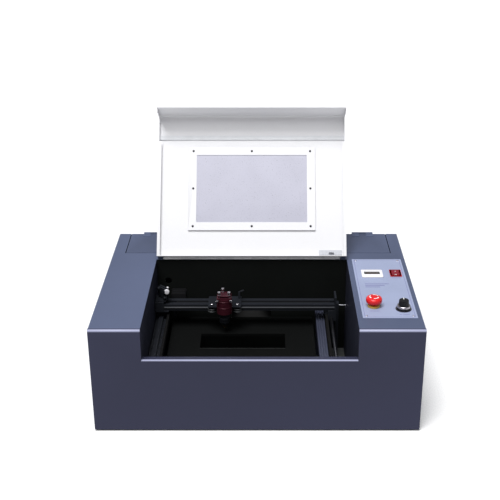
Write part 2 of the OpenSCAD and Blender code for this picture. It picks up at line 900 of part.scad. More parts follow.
module rear_sockets() {
    color([0.08, 0.08, 0.08]) from_front() {
        difference() {
            union() {
                box([279, body_d, 36], [321, body_d + 3, 64]);
                box([286.2, body_d - 24, 40.2], [313.8, body_d, 59.8]);
            }
            box([289, body_d - 16, 43], [311, body_d + 4, 57]);
        }
        for (x = [294, 300, 306])
            box([x - 1, body_d - 16, 44.5], [x + 1, body_d - 1, 47]);
        difference() {
            box([246.2, body_d - 16, 44.2], [257.8, body_d + 1, 55.8]);
            box([248, body_d - 10, 46], [256, body_d + 2, 54]);
        }
    }
}

module hose_barbs() {
    color([0.7, 0.55, 0.25]) from_front()
        for (x = [180, 210])
            difference() {
                union() {
                    bar_y(body_d - 14, body_d, x, 50, 4.8);
                    bar_y(body_d, body_d + 4, x, 50, 8);
                    bar_y(body_d + 4, body_d + 24, x, 50, 4);
                }
                bar_y(body_d - 20, body_d + 30, x, 50, 2.5);
            }
}

// ---- lid ----

module lid_shell() {
    color([0.95, 0.95, 0.96]) opened() {
        difference() {
            box([lid_left, edge_r, under_top], [lid_right, lid_rear, top_z]);
            window_cut(under_top - 1, top_z + 1, 0);
        }
        front_bend(lid_left, lid_right, edge_r, top_z - edge_r, edge_r, sheet);
        box([lid_left, 0, lip_z], [lid_right, sheet, top_z - edge_r]);
        box([lid_left, -lip_flange, lip_z], [lid_right, 0, lip_z + sheet]);
        for (s = [0, 1]) {
            x = s == 0 ? lid_left : lid_right - sheet;
            hem = s == 0 ? [lid_left + sheet, lid_left + lid_hem]
                : [lid_right - lid_hem, lid_right - sheet];
            box([x, edge_r, top_z - lid_skirt], [x + sheet, lid_rear, under_top]);
            box([hem[0], 76, top_z - lid_skirt], [hem[1], lid_rear, top_z - lid_skirt + sheet]);
            box([x, sheet, lip_z + 10], [x + sheet, 10, top_z - lid_skirt]);
            box([x, sheet, top_z - lid_skirt], [x + sheet, edge_r, top_z - edge_r]);
        }
        box([lid_left + sheet, lid_rear - sheet, top_z - lid_skirt],
            [lid_right - sheet, lid_rear, under_top]);
    }
}

// The window's outline through the lid, grown by `grow` on each side.
module window_cut(z0, z1, grow) {
    near = hinge_back - window_near - window_h;
    box([lid_mid - window_w / 2 - grow, near - grow, z0],
        [lid_mid + window_w / 2 + grow, near + window_h + grow, z1]);
}

module lid_window() {
    color([0.8, 0.8, 0.9, 0.6]) opened()
        window_cut(under_top - pane_t, under_top, frame_margin - 1);
}

module window_frame() {
    low = under_top - pane_t - frame_t;
    color([0.93, 0.93, 0.95]) opened()
        difference() {
            window_cut(low, under_top - pane_t, frame_margin);
            window_cut(low - 1, under_top + 1, 0);
        }
}

module window_screws() {
    low = under_top - pane_t - frame_t;
    near = hinge_back - window_near - window_h;
    dx = window_w / 2 + frame_margin / 2 - 2;
    color([0.25, 0.25, 0.27]) opened()
        for (x = [-dx, 0, dx], y = [near - 11, near + window_h / 2, near + window_h + 11])
            if (x != 0 || y != near + window_h / 2)
                bar_z(low - 2, low, lid_mid + x, y, window_screw_r);
}

module lid_seal() {
    color([0.8, 0.8, 0.82]) opened()
        box([lid_left + sheet, hinge_back - seal_near - seal_w, under_top - 3],
            [lid_right - sheet, hinge_back - seal_near, under_top]);
}

// A steel bracket near the hinge that would press the interlock switch when the lid closes.
module lid_striker() {
    color([0.6, 0.6, 0.6]) opened() {
        box([lid_right - 74, 380, under_top - 2], [lid_right - 12, 393, under_top]);
        box([lid_right - 48, 386, under_top - 10], [lid_right - 34, 388, under_top - 2]);
    }
}

// Knuckles of a long hinge about the lid's axis. first is 0 or 1, so that two leaves alternate.
module lid_knuckles(first, y, z) {
    step = leaf_len / knuckles;
    for (i = [first : 2 : knuckles - 1])
        bar_x(lid_mid - leaf_len / 2 + i * step + 0.2,
            lid_mid - leaf_len / 2 + (i + 1) * step - 0.2, y, z, knuckle_r);
}

module lid_hinge_leaf() {
    step = leaf_len / knuckles;
    color([0.6, 0.6, 0.62]) opened()
        difference() {
            union() {
                lid_knuckles(1, hinge_back, hinge_z);
                for (i = [1 : 2 : knuckles - 1])
                    box([lid_mid - leaf_len / 2 + i * step + 0.2, hinge_back - 4, top_z],
                        [lid_mid - leaf_len / 2 + (i + 1) * step - 0.2, hinge_back, top_z + leaf_t]);
                box([lid_mid - leaf_len / 2, hinge_back - 22, top_z],
                    [lid_mid + leaf_len / 2, hinge_back - 4, top_z + leaf_t]);
            }
            bar_x(-half_w, half_w, hinge_back, hinge_z, hinge_pin_r + running);
        }
}

// The cabinet's halves of the lid hinge and of the two hatch hinges, each with its pressed pin.
module cabinet_hinge_leaves() {
    step = leaf_len / knuckles;
    color([0.6, 0.6, 0.62]) from_front() {
        lid_knuckles(0, hinge_back, hinge_z);
        for (i = [0 : 2 : knuckles - 1])
            box([lid_mid - leaf_len / 2 + i * step + 0.2, hinge_back, top_z],
                [lid_mid - leaf_len / 2 + (i + 1) * step - 0.2, hinge_back + 6, top_z + leaf_t]);
        box([lid_mid - leaf_len / 2, hinge_back + 6, top_z],
            [lid_mid + leaf_len / 2, hinge_back + 21, top_z + leaf_t]);
        bar_x(lid_mid - leaf_len / 2, lid_mid + leaf_len / 2, hinge_back, hinge_z, hinge_pin_r);
        for (x = hatch_hinge_xs) {
            bar_x(x - hatch_hinge_w / 2, x + hatch_hinge_w / 2, hatch_axis_y, top_z, hinge_pin_r);
            bar_x(x - 9.8, x + 9.8, hatch_axis_y, top_z, knuckle_r);
            box([x - 9.8, body_d, top_z - 20], [x + 9.8, body_d + leaf_t, top_z]);
        }
    }
}

module rear_hatch() {
    color([0.39, 0.43, 0.56]) from_front() {
        box([-hatch_x, hatch_front, under_top], [hatch_x, body_d - 0.6, top_z]);
        for (x = [-hatch_x, hatch_x - sheet])
            box([x, hatch_front, under_top - 12], [x + sheet, body_d - 60, under_top]);
        difference() {
            for (x = hatch_hinge_xs, s = [-1, 1]) {
                low = s < 0 ? x - hatch_hinge_w / 2 : x + 10.2;
                high = s < 0 ? x - 10.2 : x + hatch_hinge_w / 2;
                bar_x(low, high, hatch_axis_y, top_z, knuckle_r);
                box([low, body_d - 20, top_z], [high, hatch_axis_y, top_z + leaf_t]);
            }
            bar_x(-half_w, half_w, hatch_axis_y, top_z, hinge_pin_r + running);
        }
    }
}

// ---- the parts ----

front_panel();
left_cover();
right_cover();
left_wall();
right_wall();
rear_wall();
hinge_rail();
rear_panel();
base_pan();
rubber_feet();
bed_plate();
y_rail_left();
bed_rail_right();
y_rod_right();
rail_blocks();
y_motor();
y_belts();
laser_tube();
tube_clamps();
mirror_mount_1();
laser_psu();
control_board();
exhaust_duct();
control_panel();
power_display();
rocker_bezel();
estop_base();
dial_ring();
rear_sockets();
hose_barbs();
cabinet_screws();
cabinet_hinge_leaves();
lid_shell();
lid_window();
window_frame();
window_screws();
lid_seal();
lid_hinge_leaf();
lid_striker();
rear_hatch();
gantry_rail();
gantry_left_end();
gantry_right_end();
x_motor();
x_belt();
mirror_mount_2();
carriage_plate();
mirror_housing();
mirror_mount_3();
lens_tube();
y_drive_shaft();
y_idlers();
x_pulley();
x_idler();
roller_front_left();
roller_front_right();
roller_rear();
rocker();
estop_button();
power_knob();
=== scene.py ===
"""Looks for the desktop laser engraver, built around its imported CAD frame."""

import json
import math

import bmesh
import bpy
from mathutils import Matrix, Vector


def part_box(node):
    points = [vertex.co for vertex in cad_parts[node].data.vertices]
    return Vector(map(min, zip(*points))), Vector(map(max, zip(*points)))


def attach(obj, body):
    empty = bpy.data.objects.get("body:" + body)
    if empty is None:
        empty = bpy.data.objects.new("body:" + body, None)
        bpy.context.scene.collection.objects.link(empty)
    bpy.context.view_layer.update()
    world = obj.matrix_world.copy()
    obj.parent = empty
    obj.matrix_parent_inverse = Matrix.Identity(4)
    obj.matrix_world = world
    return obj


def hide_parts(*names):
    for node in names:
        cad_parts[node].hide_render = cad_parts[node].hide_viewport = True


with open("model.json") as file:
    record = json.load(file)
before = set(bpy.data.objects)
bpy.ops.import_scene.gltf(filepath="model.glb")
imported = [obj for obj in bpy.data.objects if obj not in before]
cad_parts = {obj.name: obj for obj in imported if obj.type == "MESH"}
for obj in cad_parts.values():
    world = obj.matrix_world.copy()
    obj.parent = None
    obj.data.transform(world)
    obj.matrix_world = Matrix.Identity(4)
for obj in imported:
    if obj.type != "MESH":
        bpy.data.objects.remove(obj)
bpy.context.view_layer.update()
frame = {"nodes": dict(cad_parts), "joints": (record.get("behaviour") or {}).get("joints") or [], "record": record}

NODES = frame["nodes"]
MM = 0.001
SHARP_ANGLE = math.radians(35)


# ---- colours ----

def linear(rgb):
    """sRGB 0-255 to linear RGBA."""
    out = []
    for v in rgb:
        v = v / 255
        out.append(v / 12.92 if v <= 0.04045 else ((v + 0.055) / 1.055) ** 2.4)
    return (*out, 1.0)


# ---- node-building helpers ----

class Tree:
    """A material's node tree with short calls for the nodes used here."""

    def __init__(self, name):
        self.mat = bpy.data.materials.new(name)
        self.mat.use_nodes = True
        self.nt = self.mat.node_tree
        self.bsdf = self.nt.nodes["Principled BSDF"]
        self.coord = self.nt.nodes.new("ShaderNodeTexCoord").outputs["Object"]

    def node(self, kind, inputs=(), **attrs):
        n = self.nt.nodes.new(kind)
        for k, v in attrs.items():
            setattr(n, k, v)
        for k, v in dict(inputs).items():
            if isinstance(v, bpy.types.NodeSocket):
                self.nt.links.new(v, n.inputs[k])
            else:
                n.inputs[k].default_value = v
        return n

    def noise(self, scale, detail=3.0, rough=0.5, coord=None):
        n = self.node("ShaderNodeTexNoise", {
            "Vector": coord or self.coord, "Scale": scale, "Detail": detail,
            "Roughness": rough})
        return n.outputs["Fac"]

    def stretched(self, sx, sy, sz):
        m = self.node("ShaderNodeMapping", {"Vector": self.coord, "Scale": (sx, sy, sz)})
        return m.outputs["Vector"]

    def ramp(self, fac, stops):
        n = self.node("ShaderNodeValToRGB", {"Fac": fac})
        el = n.color_ramp.elements
        while len(el) < len(stops):
            el.new(0.5)
        for e, (p, c) in zip(el, stops):
            e.position = p
            e.color = c if len(c) == 4 else (*c, 1)
        return n.outputs["Color"]

    def math(self, op, a, b=0.0):
        n = self.node("ShaderNodeMath", {0: a, 1: b}, operation=op)
        return n.outputs[0]

    def mix(self, fac, a, b, blend="MIX"):
        n = self.node("ShaderNodeMix", data_type="RGBA", blend_type=blend)
        for k, v in (("Factor", fac), ("A", a), ("B", b)):
            sock = [i for i in n.inputs if i.name == k and i.enabled][0]
            if isinstance(v, bpy.types.NodeSocket):
                self.nt.links.new(v, sock)
            else:
                sock.default_value = v
        return [o for o in n.outputs if o.enabled][0]

    def link(self, out, name):
        self.nt.links.new(out, self.bsdf.inputs[name])

    def bump(self, height, strength, distance):
        n = self.node("ShaderNodeBump", {
            "Height": height, "Strength": strength, "Distance": distance})
        self.link(n.outputs["Normal"], "Normal")


def scaled(c, k):
    """A linear colour made lighter or darker."""
    return (*[min(1.0, v * k) for v in c[:3]], 1.0)


def finish_material(name, colour, rough, metal=0.0, vary=0.06, vary_scale=9.0, grain=700.0,
                    bump=0.08, bump_mm=0.2, edge=0.0, stretch=None, shine=0.5, bend_highlight=None):
    """A surface with slow colour drift, fine grain and a roughness that wanders.
    edge lightens worn edges, stretch draws the grain out along an axis, and the bend colour is a
    painted highlight: a lighter colour on the rounded fold between a front face and a top face."""
    t = Tree(name)
    base = linear(colour)
    slow = t.noise(vary_scale, 4.0, 0.6)
    col = t.ramp(slow, [(0.3, scaled(base, 1 - vary)), (0.7, scaled(base, 1 + vary))])
    coord = t.stretched(*stretch) if stretch else None
    fine = t.noise(grain, 2.0, 0.55, coord)
    speck = t.ramp(fine, [(0.35, (0.93, 0.93, 0.93)), (0.65, (1.05, 1.05, 1.05))])
    col = t.mix(1.0, col, speck, "MULTIPLY")
    if edge:
        geo = t.node("ShaderNodeNewGeometry").outputs["Pointiness"]
        worn = t.ramp(geo, [(0.50, (0, 0, 0)), (0.56, (edge, edge, edge))])
        col = t.mix(worn, col, scaled(base, 2.1))
    # painted highlight: where the normal faces both forward and up, on the rounded fold, the colour is mixed
    # towards a lighter one as if the overhead light glinted there
    if bend_highlight:
        normal = t.node("ShaderNodeNewGeometry").outputs["Normal"]
        parts = t.node("ShaderNodeSeparateXYZ", {0: normal}).outputs
        front = t.math("MAXIMUM", t.math("MULTIPLY", parts["Y"], -2.0), 0.0)
        bend_highlight_mask = t.math("MULTIPLY", front, t.math("MAXIMUM", parts["Z"], 0.0))
        col = t.mix(t.math("MINIMUM", bend_highlight_mask, 1.0), col, linear(bend_highlight))
    t.link(col, "Base Color")
    wander = t.noise(vary_scale * 3, 3.0)
    r = t.math("ADD", t.math("MULTIPLY", wander, 0.14), rough - 0.07)
    t.link(r, "Roughness")
    t.bsdf.inputs["Metallic"].default_value = metal
    t.bsdf.inputs["Specular IOR Level"].default_value = shine
    t.bump(fine, bump, bump_mm * MM)
    return t.mat


# ---- materials for the CAD nodes ----

# painted light and shade: one blue-grey paint in two copies, a darker one for the front faces standing in for
# their shade and a lighter one for the tops standing in for the overhead light on them
FRONT_SHADED_PAINT = (38, 40, 60)
TOP_LIT_PAINT = (70, 78, 101)

# colour, roughness and what else each finish differs in
FINISHES = {
    # front_paint's bend colour is a painted highlight on the folds along the front top edges
    "front_paint": (FRONT_SHADED_PAINT, 0.38, dict(vary=0.04, vary_scale=4.0, grain=1400.0, bump=0.10,
        bump_mm=0.15, edge=0.3, shine=0.2, bend_highlight=(160, 163, 190))),
    "top_paint": (TOP_LIT_PAINT, 0.40, dict(vary=0.05, vary_scale=4.0, grain=1400.0, bump=0.10,
        bump_mm=0.15, edge=0.35, shine=0.3)),
    "inner_paint": ((12, 13, 13), 0.65, dict(vary=0.12, vary_scale=7.0, grain=1200.0,
        bump=0.12, bump_mm=0.15, shine=0.05)),
    # painted shade: the inner side walls are the cabinet's blue-grey paint darkened, as it looks in the cavity's
    # shade
    "wall_paint": ((43, 45, 58), 0.55, dict(vary=0.1, vary_scale=6.0, grain=1200.0, bump=0.12,
        bump_mm=0.15, shine=0.1)),
    "white_paint": ((222, 222, 225), 0.40, dict(vary=0.008, vary_scale=3.0, grain=1400.0,
        bump=0.06, bump_mm=0.12, shine=0.3)),
    "zinc_plate": ((140, 143, 148), 0.38, dict(metal=0.9, vary=0.12, vary_scale=22.0,
        grain=300.0, bump=0.06)),
    "rubber": ((16, 16, 17), 0.8, dict(vary=0.12, grain=900.0, bump=0.2, shine=0.1)),
    # painted shade: the aluminium is given a dark blue-grey, as it looks in the cavity's shade, in place of its
    # own bright grey
    "rail_alu": ((84, 88, 108), 0.40, dict(metal=0.6, vary=0.05, grain=900.0, bump=0.1,
        stretch=(1.0, 0.04, 1.0), shine=0.3)),
    "dark_alu": ((30, 32, 37), 0.45, dict(metal=0.1, vary=0.08, grain=900.0, bump=0.08,
        edge=0.3, shine=0.15)),
    "steel": ((120, 121, 126), 0.3, dict(metal=1.0, vary=0.04, grain=800.0, bump=0.05)),
    "chrome": ((176, 172, 178), 0.28, dict(metal=1.0, vary=0.05, grain=500.0, bump=0.03)),
    "dark_steel": ((48, 49, 54), 0.35, dict(metal=0.8, vary=0.08, grain=700.0, bump=0.06)),
    "motor_black": ((16, 16, 18), 0.5, dict(vary=0.08, grain=900.0, bump=0.12, shine=0.15)),
    "clamp_blue": ((42, 72, 122), 0.5, dict(vary=0.06, grain=800.0)),
    "pcb_green": ((22, 84, 48), 0.35, dict(vary=0.1, grain=600.0)),
    "panel_film": ((147, 156, 184), 0.36, dict(vary=0.05, vary_scale=9.0, grain=1600.0,
        bump=0.05, shine=0.35)),
    "white_plastic": ((228, 227, 232), 0.35, dict(vary=0.02, grain=900.0, bump=0.05)),
    "red_plastic": ((206, 27, 32), 0.30, dict(vary=0.05, grain=700.0, bump=0.04, shine=0.4)),
    "dark_red": ((64, 24, 34), 0.36, dict(metal=0.3, vary=0.1, grain=900.0, bump=0.06,
        shine=0.25)),
    "black_plastic": ((14, 15, 19), 0.38, dict(vary=0.08, grain=900.0, bump=0.08, shine=0.3)),
    "yellow_plastic": ((206, 168, 70), 0.4, dict(vary=0.05, grain=700.0)),
    "seal_foam": ((210, 212, 216), 0.9, dict(vary=0.06, vary_scale=40.0, grain=1500.0,
        bump=0.5, bump_mm=0.4, shine=0.1)),
    "roller_plastic": ((52, 54, 56), 0.5, dict(vary=0.06, grain=900.0, shine=0.2)),
    "brass": ((176, 142, 74), 0.3, dict(metal=1.0, vary=0.06, grain=600.0)),
    "rocker_red": ((120, 30, 44), 0.34, dict(vary=0.06, grain=700.0, bump=0.05, shine=0.4)),
    "panel_ink": ((112, 112, 158), 0.5, dict(vary=0.05, grain=1200.0, bump=0.03)),
    "mark_white": ((226, 226, 226), 0.45, dict(vary=0.03, grain=900.0, bump=0.03)),
    "display_glass": ((30, 34, 32), 0.16, dict(vary=0.1, grain=500.0, bump=0.02, shine=0.4)),
    "display_digit": ((96, 40, 36), 0.4, dict(vary=0.1, grain=900.0, bump=0.02)),
}
MATS = {name: finish_material(name, colour, rough, **more)
        for name, (colour, rough, more) in FINISHES.items()}


def acrylic_material():
    """Pale lilac translucent sheet with faint light patches and a fine haze."""
    t = Tree("window_acrylic")
    slow = t.noise(14.0, 2.0)
    t.link(t.ramp(slow, [(0.35, linear((184, 184, 199))), (0.65, linear((189, 189, 204)))]),
           "Base Color")
    haze = t.noise(420.0, 2.0)
    t.link(t.math("ADD", t.math("MULTIPLY", haze, 0.10), 0.24), "Roughness")
    t.bsdf.inputs["Transmission Weight"].default_value = 0.2
    t.bsdf.inputs["IOR"].default_value = 1.49
    t.bump(haze, 0.05, 0.1 * MM)
    return t.mat


def glass_material():
    """Clear tube glass with a slight tint and soft streaks."""
    t = Tree("tube_glass")
    streak = t.noise(60.0, 2.0, coord=t.stretched(0.1, 1.0, 1.0))
    t.link(t.ramp(streak, [(0.3, (0.74, 0.84, 0.90)), (0.7, (0.86, 0.92, 0.96))]), "Base Color")
    t.link(t.math("MULTIPLY", streak, 0.12), "Roughness")
    t.bsdf.inputs["Transmission Weight"].default_value = 0.85
    t.bsdf.inputs["IOR"].default_value = 1.47
    t.bump(streak, 0.05, 0.2 * MM)
    return t.mat


MATS["window_acrylic"] = acrylic_material()
MATS["glass"] = glass_material()


def two_tone_material(name, near, far, at_y):
    """Enamel that is one colour in front of a depth and another behind it."""
    t = Tree(name)
    y = t.node("ShaderNodeSeparateXYZ", {0: t.coord}).outputs["Y"]
    grain = t.noise(1400.0, 2.0)
    past = t.math("GREATER_THAN", y, at_y)
    col = t.mix(past, linear(near), linear(far))
    speck = t.ramp(grain, [(0.35, (0.95, 0.95, 0.95)), (0.65, (1.04, 1.04, 1.04))])
    t.link(t.mix(1.0, col, speck, "MULTIPLY"), "Base Color")
    t.link(t.math("ADD", t.math("MULTIPLY", grain, 0.1), 0.36), "Roughness")
    t.bsdf.inputs["Specular IOR Level"].default_value = 0.3
    t.bump(grain, 0.06, 0.12 * MM)
    return t.mat


for part in frame["record"]["subparts"]:
    obj = NODES[part["node"]]
    obj.data.materials.clear()
    obj.data.materials.append(MATS[part["material_slot"]])

HATCH_FRONT_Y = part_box("rear_hatch")[0].y
# behind the hatch's front the hinge leaves take the lighter top colour, painted light
NODES["cabinet_hinge_leaves"].data.materials[0] = two_tone_material(
    "hinge_enamel", (236, 236, 238), TOP_LIT_PAINT, HATCH_FRONT_Y)
NODES["lid_hinge_leaf"].data.materials[0] = MATS["white_paint"]
# the side walls get the darkened blue-grey, painted shade
NODES["left_wall"].data.materials[0] = MATS["wall_paint"]
NODES["right_wall"].data.materials[0] = MATS["wall_paint"]
NODES["rear_wall"].data.materials[0] = finish_material(
    "rear_wall_paint", (21, 23, 22), 0.65, vary=0.12, vary_scale=7.0, grain=1200.0, bump=0.12,
    bump_mm=0.15, shine=0.05)
NODES["base_pan"].data.materials[0] = finish_material(
    "pan_zinc", (66, 68, 68), 0.6, metal=0.1, vary=0.12, vary_scale=22.0, grain=300.0,
    bump=0.06, shine=0.2)
NODES["lid_striker"].data.materials[0] = finish_material(
    "striker_zinc", (186, 188, 194), 0.45, metal=0.2, vary=0.06, vary_scale=22.0, grain=300.0,
    bump=0.06, shine=0.3)
NODES["exhaust_duct"].data.materials[0] = two_tone_material(
    "duct_enamel", (16, 16, 17), (120, 122, 126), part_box("rear_panel")[0].y)


def soften(names, width):
    """A small bevel on the CAD nodes' sharp edges, as rolled or broken edges have."""
    for name in names:
        NODES[name].modifiers.new("join", "WELD").merge_threshold = 0.01 * MM
        m = NODES[name].modifiers.new("soft_edges", "BEVEL")
        m.width = width * MM
        m.segments = 2
        m.limit_method = "ANGLE"
        m.angle_limit = SHARP_ANGLE
        m.harden_normals = False


soften(["left_cover", "right_cover", "front_panel", "rear_panel", "hinge_rail", "rear_hatch",
        "bed_plate", "window_frame", "lid_striker"], 0.35)
soften(["y_rail_left", "bed_rail_right", "gantry_rail", "gantry_left_end", "gantry_right_end",
        "carriage_plate", "mirror_mount_1", "mirror_mount_2", "rail_blocks", "laser_psu",
        "tube_clamps", "rear_sockets", "control_panel", "estop_base", "rubber_feet"], 0.3)


# ---- camera, light and stage ----

CAMERA_AT = (0.019, -2.3485, 1.3937)
CAMERA_PITCH = 23.95
CAMERA_LENS = 70.87
CAMERA_SHIFT_X = -0.0298
FLOOR_HALF = 9
FLOOR_DROP = 0.4 * MM
WORLD_STRENGTH = 0.30


def make_camera():
    """The camera, level from side to side and a little right of the centre."""
    cam = bpy.data.objects.new("camera", bpy.data.cameras.new("camera"))
    bpy.context.scene.collection.objects.link(cam)
    cam.location = CAMERA_AT
    cam.rotation_euler = (math.radians(90 - CAMERA_PITCH), 0, 0)
    cam.data.lens = CAMERA_LENS
    cam.data.sensor_width = 36
    cam.data.shift_x = CAMERA_SHIFT_X
    cam.data.clip_end = 50
    bpy.context.scene.camera = cam


def area_light(name, at, aim, size, watts):
    data = bpy.data.lights.new(name, "AREA")
    data.shape = "RECTANGLE"
    data.size, data.size_y = size
    data.energy = watts
    obj = bpy.data.objects.new(name, data)
    bpy.context.scene.collection.objects.link(obj)
    obj.location = at
    obj.rotation_euler = (Vector(aim) - Vector(at)).to_track_quat("-Z", "Y").to_euler()


def make_stage():
    """A pale floor and an even white sky."""
    bm = bmesh.new()
    bmesh.ops.create_grid(bm, x_segments=24, y_segments=24, size=FLOOR_HALF)
    mesh = bpy.data.meshes.new("floor")
    bm.to_mesh(mesh)
    bm.free()
    floor = bpy.data.objects.new("floor", mesh)
    floor.location.z = -FLOOR_DROP
    bpy.context.scene.collection.objects.link(floor)
    floor.data.materials.append(finish_material("floor_paper", (243, 243, 243), 0.85, vary=0.004,
                                                vary_scale=0.8, grain=300.0, bump=0.02,
                                                shine=0.05))
    world = bpy.data.worlds.new("world")
    world.use_nodes = True
    sky = world.node_tree.nodes["Background"]
    sky.inputs["Color"].default_value = (1, 1, 1, 1)
    sky.inputs["Strength"].default_value = WORLD_STRENGTH
    bpy.context.scene.world = world
    bpy.context.scene.view_settings.view_transform = "Standard"


def sun_light(name, tilt_x, tilt_y, strength, softness):
    data = bpy.data.lights.new(name, "SUN")
    data.energy = strength
    data.angle = math.radians(softness)
    obj = bpy.data.objects.new(name, data)
    bpy.context.scene.collection.objects.link(obj)
    obj.rotation_euler = (math.radians(tilt_x), math.radians(tilt_y), 0)


make_camera()
make_stage()
sun_light("overhead", 16, -10, 3.3, 32)
area_light("front_softbox", (0.0, -1.5, 2.6), (0, -0.3, 0.2), (2.4, 0.7), 16)


# ---- mesh helpers ----

CORNER_STEPS = 5


def new_piece(name, bm, body, slot, replaces=()):
    """Stores a bmesh as a piece that rides on a body, with the material of its slot."""
    bmesh.ops.recalc_face_normals(bm, faces=bm.faces)
    for f in bm.faces:
        f.smooth = True
    for e in bm.edges:
        if len(e.link_faces) == 2 and e.calc_face_angle(0) > SHARP_ANGLE:
            e.smooth = False
    mesh = bpy.data.meshes.new(name)
    bm.to_mesh(mesh)
    bm.free()
    obj = bpy.data.objects.new(name, mesh)
    bpy.context.scene.collection.objects.link(obj)
    mesh.materials.append(MATS[slot])
    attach(obj, body)
    if replaces:
        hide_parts(*replaces)


def off(origin, x, y, z):
    """A point x, y, z millimetres from another point."""
    return (origin[0] + x * MM, origin[1] + y * MM, origin[2] + z * MM)


def oriented(p, at, axis):
    """A point of a shape made along +Z, turned to the named axis and moved to its place."""
    x, y, z = p
    turns = {"X": (z, y, -x), "-X": (-z, y, x), "Y": (x, z, -y), "-Y": (x, -z, y),
             "-Z": (x, -y, -z), "Z": (x, y, z)}
    q = axis @ Vector(p) if isinstance(axis, Matrix) else turns[axis]
    return tuple(a + b for a, b in zip(q, at))


def skin(bm, rings, closed=False):
    """Joins equal rings of vertices with quads. The ends are capped, or joined if closed."""
    pairs = list(zip(rings, rings[1:]))
    if closed:
        pairs.append((rings[-1], rings[0]))
    for a, b in pairs:
        for i in range(len(a)):
            j = (i + 1) % len(a)
            bm.faces.new((a[i], a[j], b[j], b[i]))
    if not closed:
        bm.faces.new(list(reversed(rings[0])))
        bm.faces.new(rings[-1])


def turned(bm, profile, at, axis="Z", steps=48, bore=0.0):
    """A turned shape from (radius, height, flutes, flute depth) rows in millimetres.
    Six flutes with the depth None make a hexagon. A bore runs from end to end."""
    rows = [(*p, 0, 0)[:4] if len(p) < 4 else p for p in profile]
    if bore:
        rows = [(bore, rows[0][1], 0, 0), *rows, (bore, rows[-1][1], 0, 0)]
    rings = []
    for r, z, flutes, depth in rows:
        pts = []
        for i in range(steps):
            a = 2 * math.pi * i / steps
            rr = r
            if flutes and depth is None:
                half = math.pi / flutes
                rr = r * math.cos(half) / math.cos(a % (2 * half) - half)
            elif flutes:
                rr = r - depth * (0.5 - 0.5 * math.cos(flutes * a))
            p = (rr * math.cos(a) * MM, rr * math.sin(a) * MM, z * MM)
            pts.append(bm.verts.new(oriented(p, at, axis)))
        rings.append(pts)
    skin(bm, rings, closed=bool(bore))


def outline(bm, x0, y0, x1, y1, r, z, at, axis="Z"):
    """A rounded rectangle of vertices, in millimetres about a point."""
    pts = []
    for cx, cy, a0 in ((x1 - r, y1 - r, 0), (x0 + r, y1 - r, 90),
                       (x0 + r, y0 + r, 180), (x1 - r, y0 + r, 270)):
        for i in range(CORNER_STEPS + 1):
            a = math.radians(a0 + 90 * i / CORNER_STEPS)
            p = ((cx + r * math.cos(a)) * MM, (cy + r * math.sin(a)) * MM, z * MM)
            pts.append(bm.verts.new(oriented(p, at, axis)))
    return pts


def block(bm, low, high, r, at, axis="Z", soft=0.4, pocket=None):
    """A box with rounded sides and softened rims, in millimetres about a point.
    pocket is (x0, y0, x1, y1, depth) of a recess in its top."""
    (x0, y0, z0), (x1, y1, z1) = low, high
    def ring(inset, z):
        return outline(bm, x0 + inset, y0 + inset, x1 - inset, y1 - inset,
                       max(r - inset, 0.05), z, at, axis)
    rings = [ring(soft, z0), ring(soft * 0.3, z0 + soft * 0.3), ring(0, z0 + soft),
             ring(0, z1 - soft), ring(soft * 0.3, z1 - soft * 0.3), ring(soft, z1)]
    if pocket:
        a, b, c, d, deep = pocket
        rings += [outline(bm, a - 0.4, b - 0.4, c + 0.4, d + 0.4, 1.2, z1, at, axis),
                  outline(bm, a, b, c, d, 0.8, z1 - 0.5, at, axis),
                  outline(bm, a, b, c, d, 0.8, z1 - deep, at, axis)]
    skin(bm, rings)


def islands(node):
    """The (low, high) corners of each separate solid in a CAD node."""
    bm = bmesh.new()
    bm.from_mesh(NODES[node].data)
    bmesh.ops.remove_doubles(bm, verts=bm.verts, dist=1e-6)
    seen, out = set(), []
    for v in bm.verts:
        if v in seen:
            continue
        stack, part = [v], []
        seen.add(v)
        while stack:
            w = stack.pop()
            part.append(w.co.copy())
            for e in w.link_edges:
                o = e.other_vert(w)
                if o not in seen:
                    seen.add(o)
                    stack.append(o)
        out.append((Vector([min(c[i] for c in part) for i in range(3)]),
                    Vector([max(c[i] for c in part) for i in range(3)])))
    bm.free()
    return out


def middle(node):
    """The centre of a CAD node's box."""
    low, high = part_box(node)
    return (low + high) / 2


# ---- screws ----

BUTTON_HEAD = [(4.0, 0.0), (4.0, 0.5), (3.5, 1.05), (2.7, 1.45), (1.9, 1.6), (1.6, 1.6, 6, None),
               (1.6, 0.4, 6, None)]
PAN_HEAD = [(3.0, 0.0), (3.0, 0.7), (2.6, 1.4), (1.9, 1.85), (1.4, 2.0), (1.3, 2.0, 6, None),
            (1.3, 0.9, 6, None)]
LID_TURN = Matrix.Rotation(-math.radians(frame["joints"][0]["range_deg"][1]), 3, "X")


def cabinet_screw_heads():
    """Button heads in place of the CAD's plain ones, turned to the sheet they hold."""
    bm = bmesh.new()
    for low, high in islands("cabinet_screws"):
        mid = (low + high) / 2
        if high.y - low.y < 0.004:
            turned(bm, BUTTON_HEAD, (mid.x, low.y, mid.z), "Y", 36)
        elif mid.x < 0:
            turned(bm, BUTTON_HEAD, (high.x, mid.y, mid.z), "-X", 36)
        else:
            turned(bm, BUTTON_HEAD, (low.x, mid.y, mid.z), "X", 36)
    new_piece("button_screws", bm, "cabinet", "dark_steel", ["cabinet_screws"])


def window_screw_heads():
    """Pan heads round the window, on the lid's underside."""
    down = LID_TURN @ Matrix.Rotation(math.pi, 3, "X")
    bm = bmesh.new()
    for low, high in islands("window_screws"):
        at = (low + high) / 2 - down @ Vector((0, 0, 1 * MM))
        turned(bm, PAN_HEAD, at, down, 36)
    new_piece("window_pan_screws", bm, "lid", "dark_steel", ["window_screws"])


# ---- laser head ----

HEAD = Vector((middle("mirror_housing").x, middle("mirror_housing").y,
               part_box("mirror_housing")[1].z))


